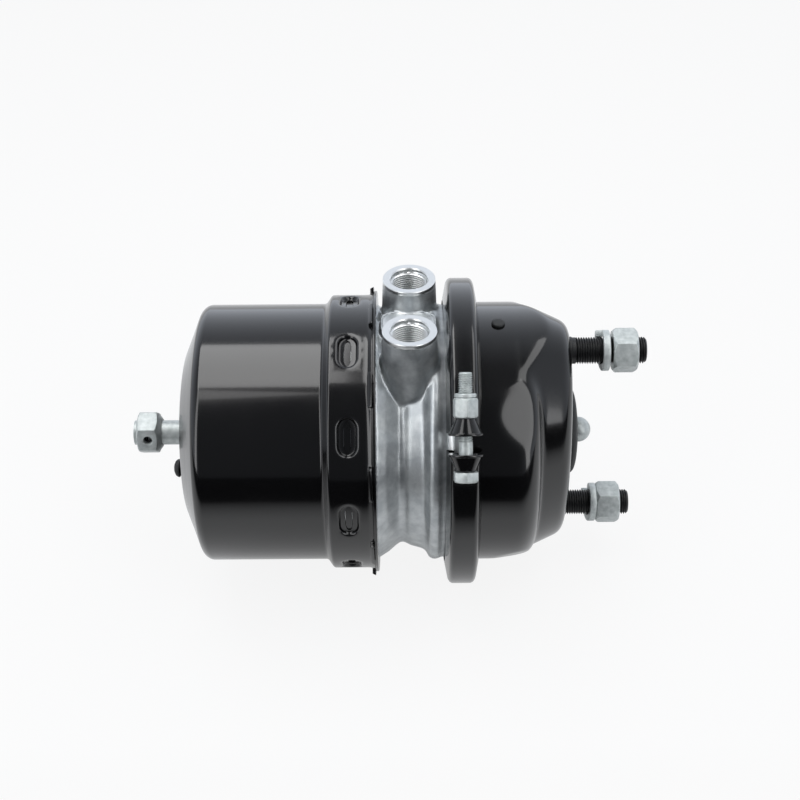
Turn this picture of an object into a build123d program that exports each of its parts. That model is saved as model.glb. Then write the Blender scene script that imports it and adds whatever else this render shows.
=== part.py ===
from build123d import *
import os
from math import cos, pi, radians, sin, sqrt, tan

# Type 24/24 spring brake chamber for an air disc brake, in millimetres.
# X runs along the chamber axis, towards the mounting studs and the push rod. Z points the way the
# two air ports face. The origin is the centre of the mounting face.

# --- driving dimensions ---------------------------------------------------------------------------
SHEET = 3.0                 # pressed steel sheet of the drum and the service housing
GAP = 0.05                  # clearance left between pieces that seat on each other

# service housing
HOUSING_R = 79.9            # outer radius of the housing's cylinder
RIM_R = 87.6                # outer radius of the clamped rims
CLAMP_X = -65.2             # middle plane of the clamp ring
SHOULDER_X = -20.5          # plane where the housing's shoulder ends
SHOULDER_ROUND = 12.0
PLATFORM_DRAFT = 25.0       # degrees, side walls of the raised mounting platform
PLATFORM_HALF_Z = 73.0      # half length of the platform at the mounting face
PLATFORM_HALF_Y = 48.4      # half width at the face
PLATFORM_EDGE = 11.5
SCALLOP_ANGLES = (46.0, 134.0)  # degrees from +Z towards -Y
SCALLOP_START_X = -45.5
SCALLOP_SLOPE = 10.5        # degrees
BOOT_HOLE_R = 22.0
BOOT_SEAT = (26.0, 0.4)     # radius and depth of the coined seat for the boot's lip
STUD_SPACING = 120.65
STUD_R = 8.0                # free length of the M16 studs
STUD_NECK_R = 8.4           # where a stud is pressed into the housing
STUD_THREAD_R = 7.8         # under the nut, at the thread's flanks
STUD_TIP_X = 45.5
VENT_X = -43.4

# spring brake drum
DRUM_R = 79.2               # outer radius of the drum's cylinder
BAND_R = 84.75              # outer radius of the band that grips the flange
DRUM_END = ((-236.6, 0), (-234.9, 30), (-232.2, 51.5), (-226.6, 64.2), (-222.3, DRUM_R))
DRUM_STEP = ((-146.9, DRUM_R), (-143.2, BAND_R))
DRUM_ROUNDS = ((2, 12.0), (3, 6.0), (4, 8.0), (5, 1.8), (6, 1.8))   # corner of end and step, radius
DRUM_EDGE_X = -117.6
SLOT_COUNT = 10
SLOT_X = -132.0
SLOT_SIZE = (22.4, 11.2)    # obround pocket, round the drum and along it
WINDOW_SIZE = (19.0, 4.3)   # obround window in the pocket's floor
TAB_R = 89.3
TAB_ANGLE = 14.0
PLUG_ANGLE = 90.0           # rubber plug in the drum's end, degrees from +Z towards -Y
PLUG_PLACE = (-234.2, 37.5) # its x and its distance from the axis

# flange between the drum and the service housing
LAND_R = 81.4               # the spigot's land, seen through the drum's slots
PORT_X = -95.9
PORT_Y = 27.2
PORT_FACE_Z = 95.0
PORT_R = 15.85
PORT_THREAD_R = 10.2        # M22 x 1.5 thread, at its minor radius
PORT_RECESS_R = 11.25
PORT_RECESS = 3.0
PORT_FLOOR_Z = 76.0
PASSAGE_Z = 62.0
PAD_X = -96.5               # raised pad between the ports
PAD_Z = 81.6
PASSAGE_R = 4.5
FLANGE_LEFT_X = -118.2      # face towards the spring piston
BOWL_X = -93.6              # floor of the bowl that the diaphragm lies in
TUBE_BORE_R = 18.3
SEAL_X = -101.0             # middle of the tube seal's groove in that bore
GUIDE_X = -112.0            # middle of the guide ring's groove

# clamp ring: outer and inner walls of its section as (x from the middle plane, radius)
CLAMP_R = 94.8
CLAMP_OUTER = ((-10.3, 81.2), (-8.1, 92.9), (-6.3, CLAMP_R), (6.3, CLAMP_R), (8.1, 92.9), (10.3, 81.2))
CLAMP_INNER = ((6.95, 81.2), (4.7, 91.8), (-4.7, 91.8), (-6.95, 81.2))
CLAMP_GAP = 10.5            # between the lugs of a closure
LUG_LENGTH = 9.8
CLOSURE_ANGLES = (57.0, 237.0)  # degrees from +Z towards -Y
BOLT_R_FROM_AXIS = 102.2
BOLT_R = 4.0
BOLT_AF = 13.0

# spring piston
PISTON_R = 75.9
PISTON_FACE_X = -184.0      # face towards the flange, spring held compressed
POWER_WIRE_R = 5.9
TUBE_R = 18.0
TUBE_LEFT_X = PISTON_FACE_X - 15.0
TUBE_END_X = -98.0

# release gear: a left-hand trapezoidal thread, 4 mm of travel a turn
SPINDLE_R = 7.6
SPINDLE_END_X = -106.0
COLLAR_X = -232.0           # outer face of the spindle's collar
BUSH_X = -232.3             # outer face of its bush
HEAD_X = (-268.8, -250.3)   # span of the outer hexagon
HEAD_AF = 24.0
HEAD_TURN = 22.5
PIN_X = -260.7
PIN_ANGLE = 82.5            # degrees from +Z towards -Y
NUT_AF = 23.6               # release nut, across flats

# push rod
PLATE_X = -88.2             # face towards the diaphragm
ROD_R = 9.0
BALL_R = 7.8
BALL_X = 8.7

DRUM_BORE = DRUM_R - SHEET
BAND_BORE = BAND_R - SHEET
HOUSING_BORE = HOUSING_R - SHEET


# --- helpers --------------------------------------------------------------------------------------
def turned(*corners, rounds=()):
    """A solid of revolution about the chamber axis, from its (x, radius) corners. Each entry of
    rounds is a corner and the radius that rounds it."""
    face = make_face(Polyline(*corners, close=True))
    for corner, radius in rounds:
        face = fillet(face.vertices().sort_by_distance(corner)[0], radius)
    return revolve(face, Axis.X)


def about_axis(angle, shape):
    """The shape turned about the chamber axis, by an angle from +Z towards -Y."""
    return shape.rotate(Axis.X, angle)


def radial_plane(x, height):
    """A sketch plane facing +Z, that height above the axis; its x runs to -Y and its y along X."""
    return Plane(origin=(x, 0, height), x_dir=(0, -1, 0), z_dir=(0, 0, 1))


def rod_along_x(x_from, x_to, radius, y=0.0, z=0.0):
    """A plain cylinder parallel to the axis."""
    plane = Plane(origin=(x_from, y, z), x_dir=(0, 1, 0), z_dir=(1, 0, 0))
    return extrude(plane * Circle(radius), x_to - x_from)


def hexagon_along_x(x_from, x_to, across_flats, y=0.0, z=0.0, turn=0.0):
    """A hexagonal prism parallel to the axis, both ends chamfered as on a turned nut."""
    plane = Plane(origin=(x_from, y, z), x_dir=(0, 1, 0), z_dir=(1, 0, 0))
    corner_r = across_flats / sqrt(3)
    prism = extrude(plane * RegularPolygon(corner_r, 6, rotation=turn), x_to - x_from)
    depth = (corner_r - across_flats / 2) * tan(radians(30)) + 0.35
    blank = chamfer(
        rod_along_x(x_from, x_to, corner_r, y, z).edges().filter_by(GeomType.CIRCLE),
        length=depth, length2=depth / tan(radians(30)),
    )
    return prism & blank


def coil_spring(x_from, x_to, r_from, r_to, turns, wire_r):
    """An open coil spring, cylindrical or conical, from one seat to the other. Its wire has eight
    flats and its helix short straight runs, which keeps the hidden coils light."""
    steps = int(turns * 14)
    length = x_to - x_from - 2 * wire_r
    points = []
    for i in range(steps + 1):
        part = i / steps
        angle = 2 * pi * turns * part
        radius = r_from + (r_to - r_from) * part
        x = x_from + wire_r + length * part
        points.append((x, radius * cos(angle), radius * sin(angle)))
    path = Polyline(*points)
    start = Plane(origin=path @ 0, z_dir=path % 0)
    return sweep(start * RegularPolygon(wire_r, 8), path, transition=Transition.RIGHT)


# --- pressed steel shells -------------------------------------------------------------------------
def drum_form(inset):
    """The filled outer form of the drum, shrunk by inset on every side but its open edge."""
    wall = [*DRUM_END, *DRUM_STEP, (-100, BAND_R)]
    mirrored = [(x, -r) for x, r in reversed(wall[1:])]
    outline = make_face(Polyline(*wall, *mirrored, close=True))
    for corner, radius in DRUM_ROUNDS:
        x, r = wall[corner]
        ends = [outline.vertices().sort_by_distance((x, side * r))[0] for side in (1, -1)]
        outline = fillet(ends, radius)
    if inset:
        outline = offset(outline, -inset, kind=Kind.INTERSECTION)
    half = Pos(DRUM_EDGE_X, 0) * Rectangle(150, 100, align=(Align.MAX, Align.MIN))
    return revolve(outline & half, Axis.X)


def spring_drum():
    """Deep-drawn drum: domed end, band with pressed slots, and tabs turned out at its open edge."""
    shell = drum_form(0) - drum_form(SHEET)
    tab = turned(
        (DRUM_EDGE_X - 2.5, BAND_R - 1), (DRUM_EDGE_X - 2.5, TAB_R),
        (DRUM_EDGE_X, TAB_R), (DRUM_EDGE_X, BAND_R - 1),
    )
    half = tan(radians(TAB_ANGLE / 2)) * 100
    wedge = extrude(Plane.YZ * Polygon((0, 0), (-half, 100), (half, 100), align=None), 400, both=True)
    tab = tab & wedge
    pocket_top = radial_plane(SLOT_X, BAND_R + 0.6)
    pocket_floor = radial_plane(SLOT_X, BAND_BORE - 1.0)
    lip_bottom = radial_plane(SLOT_X, BAND_BORE - 2.4)
    lip = extrude(lip_bottom * SlotOverall(SLOT_SIZE[0] - 0.2, SLOT_SIZE[1] - 0.4), 3.4)
    lip -= ring(SLOT_X - WINDOW_SIZE[1] / 2, SLOT_X + WINDOW_SIZE[1] / 2, 60, LAND_R + 0.15)
    pocket = loft([pocket_top * SlotOverall(*SLOT_SIZE), pocket_floor * SlotOverall(*WINDOW_SIZE)])
    window = extrude(radial_plane(SLOT_X, 70) * SlotOverall(*WINDOW_SIZE), 20)
    for i in range(SLOT_COUNT):
        turn = 360 / SLOT_COUNT * i
        shell += about_axis(turn, tab)
        shell += about_axis(turn + 18, lip)
    for i in range(SLOT_COUNT):
        turn = 360 / SLOT_COUNT * i + 18
        shell -= about_axis(turn, pocket)
        shell -= about_axis(turn, window)
    shell -= rod_along_x(-245, -225, SPINDLE_R + 0.4)
    return shell - about_axis(PLUG_ANGLE, rod_along_x(-245, -225, 3.0, z=PLUG_PLACE[1]))


def platform_outline(x, grow):
    """The platform's outline at a plane."""
    plane = Plane(origin=(x, 0, 0), x_dir=(0, 1, 0), z_dir=(1, 0, 0))
    return plane * Ellipse(PLATFORM_HALF_Y + grow, PLATFORM_HALF_Z + grow)


def housing_form(inset):
    """The filled outer form of the service housing, shrunk by inset on every side."""
    r = HOUSING_R - inset
    body = turned(
        (CLAMP_X + 2.55, 0), (CLAMP_X + 2.55, r), (SHOULDER_X - inset, r),
        (SHOULDER_X + 2.0 - inset, 56 - inset), (SHOULDER_X + 2.0 - inset, 0),
        rounds=(((SHOULDER_X - inset, r), SHOULDER_ROUND - inset),),
    )
    slope = tan(radians(PLATFORM_DRAFT))
    back_x = -30.0
    side_inset = inset / cos(radians(PLATFORM_DRAFT)) + inset * slope
    front = platform_outline(-inset, -side_inset + inset * slope)
    back = platform_outline(back_x, slope * -back_x - side_inset + inset * slope)
    platform = loft([back, front]) & rod_along_x(back_x, 0, r)
    rim = platform.edges().filter_by(lambda e: abs(e.center().X + inset) < 0.01)
    platform = fillet(rim, PLATFORM_EDGE - inset * 0.8)
    form = body + platform
    for angle in SCALLOP_ANGLES:
        flat = Plane(origin=(SCALLOP_START_X - inset * 0.1, 0, HOUSING_R - inset), x_dir=(1, 0, 0),
                     z_dir=(0, 0, 1)).rotated((0, SCALLOP_SLOPE, 0))
        form -= about_axis(angle, extrude(flat * Rectangle(160, 120), 30))
    return form


def service_housing():
    """Deep-drawn housing: clamped rim, scalloped shoulder and the raised mounting platform."""
    rim = turned(
        (CLAMP_X + 2.55, HOUSING_BORE + 0.5), (CLAMP_X + 2.55, RIM_R),
        (CLAMP_X + 5.55, RIM_R), (CLAMP_X + 5.55, HOUSING_BORE + 0.5),
    )
    shell = housing_form(0) + rim - housing_form(SHEET)
    shell -= rod_along_x(-10, 5, BOOT_HOLE_R)
    shell -= rod_along_x(-BOOT_SEAT[1], 5, BOOT_SEAT[0])
    for side in (1, -1):
        shell -= rod_along_x(-10, 5, STUD_NECK_R + GAP, z=side * STUD_SPACING / 2)
    shell -= extrude(radial_plane(VENT_X, 70) * Circle(3.0), 20)
    return shell


# --- cast flange ----------------------------------------------------------------------------------
def flange_hollows():
    """The insides of the flange: spigot mouth, tube bore with its two grooves, and the bowl."""
    left = turned((-143, 0), (-143, 76.6), (FLANGE_LEFT_X, 76.6), (FLANGE_LEFT_X, 0))
    rim = CLAMP_X - 1.6
    bowl = turned((BOWL_X, 0), (BOWL_X, 51.0), (rim - 3.2, 75.5), (rim, 78.5), (rim, 0))
    bore = rod_along_x(-120, -90, TUBE_BORE_R)
    grooves = rod_along_x(SEAL_X - 4, SEAL_X + 4, 22.5) + rod_along_x(GUIDE_X - 4, GUIDE_X + 4, 20.3)
    return left + bowl + bore + grooves


def port_hollow(side):
    """One air port: recess, thread at its minor radius, and the passage to its own chamber."""
    centre = Pos(side * PORT_Y, 0)
    recess = extrude(radial_plane(PORT_X, PORT_FACE_Z - PORT_RECESS) * centre * Circle(PORT_RECESS_R), 9)
    thread = extrude(radial_plane(PORT_X, PORT_FLOOR_Z) * centre * Circle(PORT_THREAD_R), 30)
    drilling = extrude(radial_plane(PORT_X, PASSAGE_Z) * centre * Circle(PASSAGE_R), 20)
    # radial_plane's x runs to -Y: side +1 is the port nearer -Y, which feeds the spring chamber
    ends = (-125, PORT_X) if side > 0 else (PORT_X, -60)
    passage = rod_along_x(*ends, PASSAGE_R, y=-side * PORT_Y, z=PASSAGE_Z)
    return recess + thread + drilling + passage


def flange_body():
    """Die-cast flange: spigot into the drum, waisted neck with two port bosses, rim and bowl."""
    casting = turned(
        (-142.4, 0), (-142.4, 79.3), (-139.7, 79.3), (-139.7, 81.6), (-138.4, 81.6),
        (-138.4, 78.9), (-133.9, 78.9), (-133.9, LAND_R), (-130.1, LAND_R), (-130.1, 78.9),
        (-125.6, 78.9), (-125.6, 81.6), (-117.5, 81.6), (-117.5, 87.2), (-115.7, 87.2),
        (-115.2, 78.4), (-109.8, 75.0), (-104.8, 70.7), (-102.3, 68.9), (-99.8, 69.2),
        (-96.5, 71.1), (-88.2, 73.4), (-86.5, 75.2), (-85.1, 78.3), (-82.8, 79.8),
        (-80.2, 79.8), (-77.5, 78.4), (CLAMP_X - 7.1, 78.4), (CLAMP_X - 6.85, 81.2),
        (CLAMP_X - 5.55, RIM_R), (CLAMP_X - 1.65, RIM_R), (CLAMP_X - 1.65, 0),
    )
    casting += extrude(radial_plane(PAD_X, 60) * RectangleRounded(24.6, 33.0, 8.0), PAD_Z - 60)
    casting -= extrude(radial_plane(PAD_X, PAD_Z - 0.8) * RectangleRounded(21.6, 30.0, 6.5), 5)
    for side in (1, -1):
        foot = radial_plane(PORT_X, 52) * Pos(side * PORT_Y, 0)
        casting += extrude(foot * Circle(PORT_R), PORT_FACE_Z - 52)
    casting -= flange_hollows()
    for side in (1, -1):
        casting -= port_hollow(side)
    return casting


def ring(x_from, x_to, r_in, r_out):
    """A plain rectangular ring about the chamber axis."""
    return turned((x_from, r_in), (x_to, r_in), (x_to, r_out), (x_from, r_out))


def flange_o_ring():
    """Static seal squeezed into the corner between the drum's step and the spigot."""
    return revolve(Pos(-140.92, 80.53) * RegularPolygon(1.18, 12), Axis.X)


def tube_seal():
    """Lip seal in the flange bore, its lip opening towards the spring piston."""
    x = SEAL_X
    return turned(
        (x - 3.9, 18.6), (x - 1.5, 19.6), (x - 1.5, 21.2), (x - 3.9, 22.45), (x + 3.9, 22.45),
        (x + 3.9, 18.4), (x - 0.5, 18.4), (x - 3.0, TUBE_R + GAP), (x - 3.9, TUBE_R + GAP),
    )


# --- clamp ring -----------------------------------------------------------------------------------
def clamp_lug():
    """One pressed closure lug, on the +t side of a closure at +Z: wide at the gap, narrow under the
    nut or the bolt head, with a hole for the bolt."""
    wide, narrow, low = 9.7, 6.0, 91.0
    start = CLAMP_GAP / 2
    wide_end = Plane(origin=(CLAMP_X, -start, 0), x_dir=(1, 0, 0), z_dir=(0, -1, 0))
    narrow_end = wide_end.offset(LUG_LENGTH)

    def section(half, top):
        return make_face(Polyline(
            (-half, low), (half, low), (half * 0.94, top - 3.5), (half * 0.55, top),
            (-half * 0.55, top), (-half * 0.94, top - 3.5), close=True))

    lug = loft([wide_end * section(wide, 109.4), narrow_end * section(narrow, 108.2)])
    hollow = wide_end * section(wide - 2.6, 106.8)
    lug -= loft([hollow, narrow_end.offset(-3.0) * section(narrow - 2.4, 105.6)])
    return lug - extrude(bolt_line() * Circle(BOLT_R + 0.4), -40)


def clamp_half(turn):
    """Half of the V-clamp, centred on a turn from +Z, with a lug at each end."""
    section = [(CLAMP_X + x, r) for x, r in CLAMP_OUTER + CLAMP_INNER]
    whole = turned(*section)
    keep = extrude(Plane.YZ * Rectangle(300, 150, align=(Align.CENTER, Align.MIN)), 200, both=True)
    half = whole & keep
    for side in (90, -90):
        cutter = extrude(radial_plane(CLAMP_X, 70) * Rectangle(CLAMP_GAP, 40), 60)
        half -= about_axis(side, cutter)
    lug = clamp_lug() - rod_along_x(-100, -30, CLAMP_R - 1.0)
    half += about_axis(-90, lug)
    half += about_axis(90, lug.mirror(Plane.XZ))
    return about_axis(turn, half)


def bolt_line():
    """A closure bolt's axis, for a closure at +Z."""
    return Plane(origin=(CLAMP_X, 0, BOLT_R_FROM_AXIS), x_dir=(1, 0, 0), z_dir=(0, 1, 0))


def clamp_bolt():
    """M8 hexagon bolt that draws the clamp halves together."""
    seat = bolt_line().offset(-(CLAMP_GAP / 2 + LUG_LENGTH + GAP))
    head = extrude(seat.offset(-5.9) * RegularPolygon(BOLT_AF / sqrt(3), 6, rotation=45), 5.9)
    shank = extrude(seat * Circle(BOLT_R), 56.2)
    return head + chamfer(shank.edges().filter_by(GeomType.CIRCLE).sort_by(Axis.Y)[-1], 0.8)


def clamp_nut():
    """M8 lock nut with a collar."""
    seat = bolt_line().offset(CLAMP_GAP / 2 + LUG_LENGTH + GAP)
    nut = extrude(seat * RegularPolygon(BOLT_AF / sqrt(3), 6, rotation=47), 11.5)
    nut += extrude(seat * Circle(6.2), 14.0)
    return nut - extrude(seat * Circle(BOLT_R + 0.02), 20)


def at_closures(piece):
    """The same piece at both closures."""
    return Compound(children=[about_axis(angle, piece) for angle in CLOSURE_ANGLES])


# --- mounting studs -------------------------------------------------------------------------------
def stud_pair(make):
    """The same piece at both studs."""
    return Compound(children=[make(side * STUD_SPACING / 2, side) for side in (1, -1)])


def stud(z, side):
    """M16 x 1.5 stud, pressed into the housing from inside."""
    tip = rod_along_x(20.2, STUD_TIP_X, STUD_THREAD_R, z=z)
    tip = chamfer(tip.edges().filter_by(GeomType.CIRCLE).sort_by(Axis.X)[-1], 1.2)
    bar = rod_along_x(-4.2, 0, STUD_NECK_R, z=z) + rod_along_x(0, 20.2, STUD_R, z=z) + tip
    head = rod_along_x(-8.5, -SHEET - GAP, 9.3, z=z)
    wall_edge = head.edges().filter_by(GeomType.CIRCLE).sort_by(Axis.X)[-1]
    return bar + chamfer(wall_edge, 2.8)


def stud_nut(z, side):
    nut = hexagon_along_x(25.3, 40.1, 24.0, z=z, turn=128.5 if side > 0 else 138.5)
    return nut - rod_along_x(20, 45, STUD_THREAD_R + 0.02, z=z)


def stud_washer(z, side):
    """Split spring washer."""
    washer = rod_along_x(20.4, 24.6, 13.0, z=z) - rod_along_x(20, 25, STUD_R + 0.25, z=z)
    split = Box(12, 2.4, 8).rotate(Axis.Z, 25).moved(Location((22.5, 0, z + side * 11)))
    return washer - split


# --- push rod group -------------------------------------------------------------------------------
def push_rod():
    """Push rod with a ball end that seats in the brake lever's cup."""
    neck = 4.8
    ball_start = BALL_X - sqrt(BALL_R ** 2 - neck ** 2)
    rod = turned(
        (PLATE_X + 4.1, 0), (PLATE_X + 4.1, ROD_R), (-4.0, ROD_R), (-1.0, neck + 1.2),
        (ball_start, neck), (BALL_X, neck), (BALL_X, 0),
    )
    foot = rod_along_x(PLATE_X + 4.05, PLATE_X + 10, 13.0)
    return rod + foot + Sphere(BALL_R).moved(Location((BALL_X, 0, 0)))


def push_rod_plate():
    """Pressed plate that carries the diaphragm's push."""
    x = PLATE_X
    return turned(
        (x, 0), (x, 45.5), (x + 1.5, 48.0), (x + 7.0, 51.5), (x + 9.0, 49.5), (x + 4.5, 46.0),
        (x + 4.0, 44.0), (x + 4.0, 0),
    )


def push_rod_boot():
    """Rubber seal disc in the housing's hole; the push rod slides through its inner lip."""
    hole = BOOT_HOLE_R - 0.1
    back, front = -SHEET - 2 * GAP, GAP - BOOT_SEAT[1]
    return turned(
        (-6.2, 19.0), (-5.6, 24.2), (back, 24.6), (back, hole), (front, hole), (front, 25.4), (2.0, 25.4),
        (3.9, 22.5), (4.9, 17.0), (5.2, 10.9), (4.6, ROD_R + 0.1), (3.2, ROD_R + 0.1), (2.4, 18.5),
        (-1.0, 19.2),
    )


def diaphragm():
    """Rubber diaphragm, laid back in the flange's bowl, with a thick bead between the rims."""
    x, bead = BOWL_X + 2.05, CLAMP_X - 1.6
    return turned(
        (x, 0), (x, 51.3), (bead - 2.6, 74.4), (bead, 77.6), (bead, 87.2), (bead + 4.1, 87.2),
        (bead + 4.1, 76.6), (bead + 0.8, 73.0), (x + 3.0, 49.4), (x + 3.0, 0),
    )


# --- spring piston group --------------------------------------------------------------------------
def spring_piston():
    """Cast piston: a cup round the power spring, with grooves for its seal and guide ring."""
    x = PISTON_FACE_X
    return turned(
        (x, TUBE_R + GAP), (x, 72.5), (x - 3.4, PISTON_R), (x - 6.0, PISTON_R), (x - 6.0, 72.8),
        (x - 14.0, 72.8), (x - 14.0, PISTON_R), (x - 19.5, PISTON_R), (x - 19.5, 71.6),
        (x - 26.5, 71.6), (x - 26.5, PISTON_R), (x - 29.5, PISTON_R), (x - 29.5, 69.4),
        (x - 6.0, 69.0), (x - 6.0, 30.0), (x - 12.0, 25.0), (x - 12.0, TUBE_R + GAP),
    )


def piston_seal():
    """Rubber lip seal, its lip opening towards the flange where the hold-off air is."""
    x = PISTON_FACE_X - 19.5
    return turned(
        (x - 0.05, 71.65), (x - 0.05, 73.0), (x - 3.0, 73.6), (x - 0.05, 75.2),
        (x - 0.6, DRUM_BORE - GAP), (x - 4.5, 75.6), (x - 6.95, 75.6), (x - 6.95, 71.65),
    )


def piston_tube():
    """Steel tube fixed in the piston, hexagonal inside so that the release nut can't turn."""
    left = TUBE_LEFT_X
    tube = rod_along_x(left, TUBE_END_X, TUBE_R) + rod_along_x(left, left + 2.95, 23.0)
    bore = Plane(origin=(left + 8.0, 0, 0), x_dir=(0, 1, 0), z_dir=(1, 0, 0))
    tube -= extrude(bore * RegularPolygon((NUT_AF + 0.5) / sqrt(3), 6), 120)
    return tube - rod_along_x(left - 1, left + 20, SPINDLE_R + 1.4)


def tube_foot():
    """Plug that closes the tube and presses on the diaphragm."""
    cap = turned(
        (TUBE_END_X + GAP, 0), (TUBE_END_X + GAP, 17.4), (BOWL_X + 0.9, 17.4), (BOWL_X + 1.7, 14.0),
        (BOWL_X + 1.7, 0),
    )
    return cap + rod_along_x(TUBE_END_X - 6.0, TUBE_END_X + 1, (NUT_AF + 0.3) / 2)


def power_spring():
    """Conical power spring between the drum's dome and the piston cup."""
    return coil_spring(-230.0, PISTON_FACE_X - 6.1, 41.5, 61.6, 3.0, POWER_WIRE_R)


# --- release gear ---------------------------------------------------------------------------------
def spindle_bush():
    """Turned bush welded in the drum's dome; its inner shoulder holds the spindle's collar."""
    x = BUSH_X
    return turned(
        (x, 12.8), (x, 19.0), (x + 3.0, 19.0), (x + 3.0, 16.5), (x + 11.0, 16.5),
        (x + 11.0, SPINDLE_R + 0.08), (x + 7.0, SPINDLE_R + 0.08), (x + 7.0, 12.8),
    )


def pin_place():
    """Where the spring pin sits: a location whose z runs through the hexagon and the spindle."""
    direction = (0, -sin(radians(PIN_ANGLE)), cos(radians(PIN_ANGLE)))
    return Plane(origin=(PIN_X, 0, 0), x_dir=(1, 0, 0), z_dir=direction).location


def cross_hole():
    """The pin's hole."""
    return pin_place() * extrude(Circle(2.5), 40, both=True)


def release_spindle():
    """Release spindle: shaft through the drum's end, collar in the bush, thread down the tube."""
    start, end = HEAD_X[0] + 1.2, SPINDLE_END_X
    bar = turned(
        (start, 0), (start, SPINDLE_R), (COLLAR_X, SPINDLE_R), (COLLAR_X, 12.4), (COLLAR_X + 3.4, 12.4),
        (COLLAR_X + 3.4, SPINDLE_R), (end - 1.5, SPINDLE_R), (end, SPINDLE_R - 1.5), (end, 0),
    )
    return bar - cross_hole()


def thrust_washer():
    """Hardened washer between the spindle's collar and the bush."""
    return ring(COLLAR_X + 3.5, BUSH_X + 6.95, SPINDLE_R + 0.3, 12.6)


def spindle_hexagon():
    """Hexagon, 24 mm across flats, pinned on the spindle's outer end."""
    low, high = HEAD_X
    body = hexagon_along_x(low, high, HEAD_AF, turn=HEAD_TURN)
    body += turned((low - 1.4, 0), (low - 1.0, 6.0), (low + 0.4, 10.5), (low + 2, 10.5), (low + 2, 0))
    body -= rod_along_x(low + 1.15, high + 1, SPINDLE_R + 0.02)
    return body - cross_hole()


def spindle_pin():
    """Slotted spring pin through the hexagon and the spindle."""
    pin = extrude(Circle(2.45), 9.6, both=True) - extrude(Circle(1.5), 12, both=True)
    pin -= Box(0.9, 3, 30).moved(Location((0, 2, 0)))
    return pin_place() * pin


def release_nut():
    """Hexagonal nut on the spindle's thread; it draws the piston back against its tube's shoulder."""
    left = TUBE_LEFT_X + 8.1
    prism = Plane(origin=(left, 0, 0), x_dir=(0, 1, 0), z_dir=(1, 0, 0))
    nut = extrude(prism * RegularPolygon(NUT_AF / sqrt(3), 6), 14.0)
    return nut - rod_along_x(left - 1, left + 20, SPINDLE_R + 0.05)


# --- rubber plugs ---------------------------------------------------------------------------------
def drum_plug():
    """Rubber plug in the drum's end."""
    x, place = PLUG_PLACE
    plug = turned(
        (x - 4.2, 0), (x - 4.1, 2.5), (x - 3.2, 4.6), (x - 1.8, 5.5), (x - 0.9, 5.5), (x - 0.9, 2.9),
        (x + 6.0, 2.9), (x + 6.0, 0),
    )
    return about_axis(PLUG_ANGLE, plug.moved(Location((0, 0, place))))


def vent_plug():
    """Round rubber plug in a vent hole of the service housing."""
    top = HOUSING_R
    plug = extrude(radial_plane(VENT_X, top - SHEET - 1) * Circle(2.9), SHEET + 2)
    button = extrude(radial_plane(VENT_X, top + GAP) * Circle(4.0), 2.0)
    return plug + chamfer(button.edges().filter_by(GeomType.CIRCLE).sort_by(Axis.Z)[-1], 0.5)


PARTS = {
    "spring_drum": spring_drum,
    "drum_plug": drum_plug,
    "spindle_bush": spindle_bush,
    "thrust_washer": thrust_washer,
    "release_spindle": release_spindle,
    "spindle_hexagon": spindle_hexagon,
    "spindle_pin": spindle_pin,
    "release_nut": release_nut,
    "power_spring": power_spring,
    "spring_piston": spring_piston,
    "piston_seal": piston_seal,
    "piston_guide_ring": lambda: ring(
        PISTON_FACE_X - 13.95, PISTON_FACE_X - 6.05, 72.85, DRUM_BORE - GAP),
    "piston_tube": piston_tube,
    "tube_foot": tube_foot,
    "flange_body": flange_body,
    "flange_o_ring": flange_o_ring,
    "tube_seal": tube_seal,
    "tube_guide_ring": lambda: ring(GUIDE_X - 3.95, GUIDE_X + 3.95, TUBE_R + GAP, 20.25),
    "diaphragm": diaphragm,
    "push_rod_plate": push_rod_plate,
    "push_rod": push_rod,
    "return_spring": lambda: coil_spring(PLATE_X + 4.1, -SHEET - 0.1, 21.0, 36.0, 5.0, 2.2),
    "push_rod_boot": push_rod_boot,
    "service_housing": service_housing,
    "vent_plug": vent_plug,
    "mounting_studs": lambda: stud_pair(stud),
    "stud_nuts": lambda: stud_pair(stud_nut),
    "stud_spring_washers": lambda: stud_pair(stud_washer),
    "clamp_half_lower": lambda: clamp_half(CLOSURE_ANGLES[0] + 90),
    "clamp_half_upper": lambda: clamp_half(CLOSURE_ANGLES[0] - 90),
    "clamp_bolts": lambda: at_closures(clamp_bolt()),
    "clamp_nuts": lambda: at_closures(clamp_nut()),
}

os.makedirs("parts", exist_ok=True)
for name, make in PARTS.items():
    export_step(make(), f"parts/{name}.step")
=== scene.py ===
import bpy
import bmesh
from math import atan2, cos, degrees, hypot, pi, radians, sin, sqrt
from mathutils import Matrix, Vector


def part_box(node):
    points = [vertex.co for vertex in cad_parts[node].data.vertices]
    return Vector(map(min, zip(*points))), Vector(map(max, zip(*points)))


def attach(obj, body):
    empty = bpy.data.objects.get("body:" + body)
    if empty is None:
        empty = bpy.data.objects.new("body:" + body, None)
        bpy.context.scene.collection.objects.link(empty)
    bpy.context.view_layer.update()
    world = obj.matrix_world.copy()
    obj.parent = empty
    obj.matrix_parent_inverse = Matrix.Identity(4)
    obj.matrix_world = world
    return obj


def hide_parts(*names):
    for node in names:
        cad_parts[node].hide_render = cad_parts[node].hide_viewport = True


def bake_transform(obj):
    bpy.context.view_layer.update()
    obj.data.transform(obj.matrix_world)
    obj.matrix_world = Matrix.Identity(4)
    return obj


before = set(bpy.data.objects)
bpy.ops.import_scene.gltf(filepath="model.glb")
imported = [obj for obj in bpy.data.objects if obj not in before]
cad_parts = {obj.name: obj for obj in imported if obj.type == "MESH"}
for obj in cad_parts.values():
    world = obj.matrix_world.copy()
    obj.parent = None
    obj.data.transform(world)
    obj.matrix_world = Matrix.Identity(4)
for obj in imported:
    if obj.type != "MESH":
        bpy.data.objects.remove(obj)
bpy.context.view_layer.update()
mm = 0.001

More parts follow.
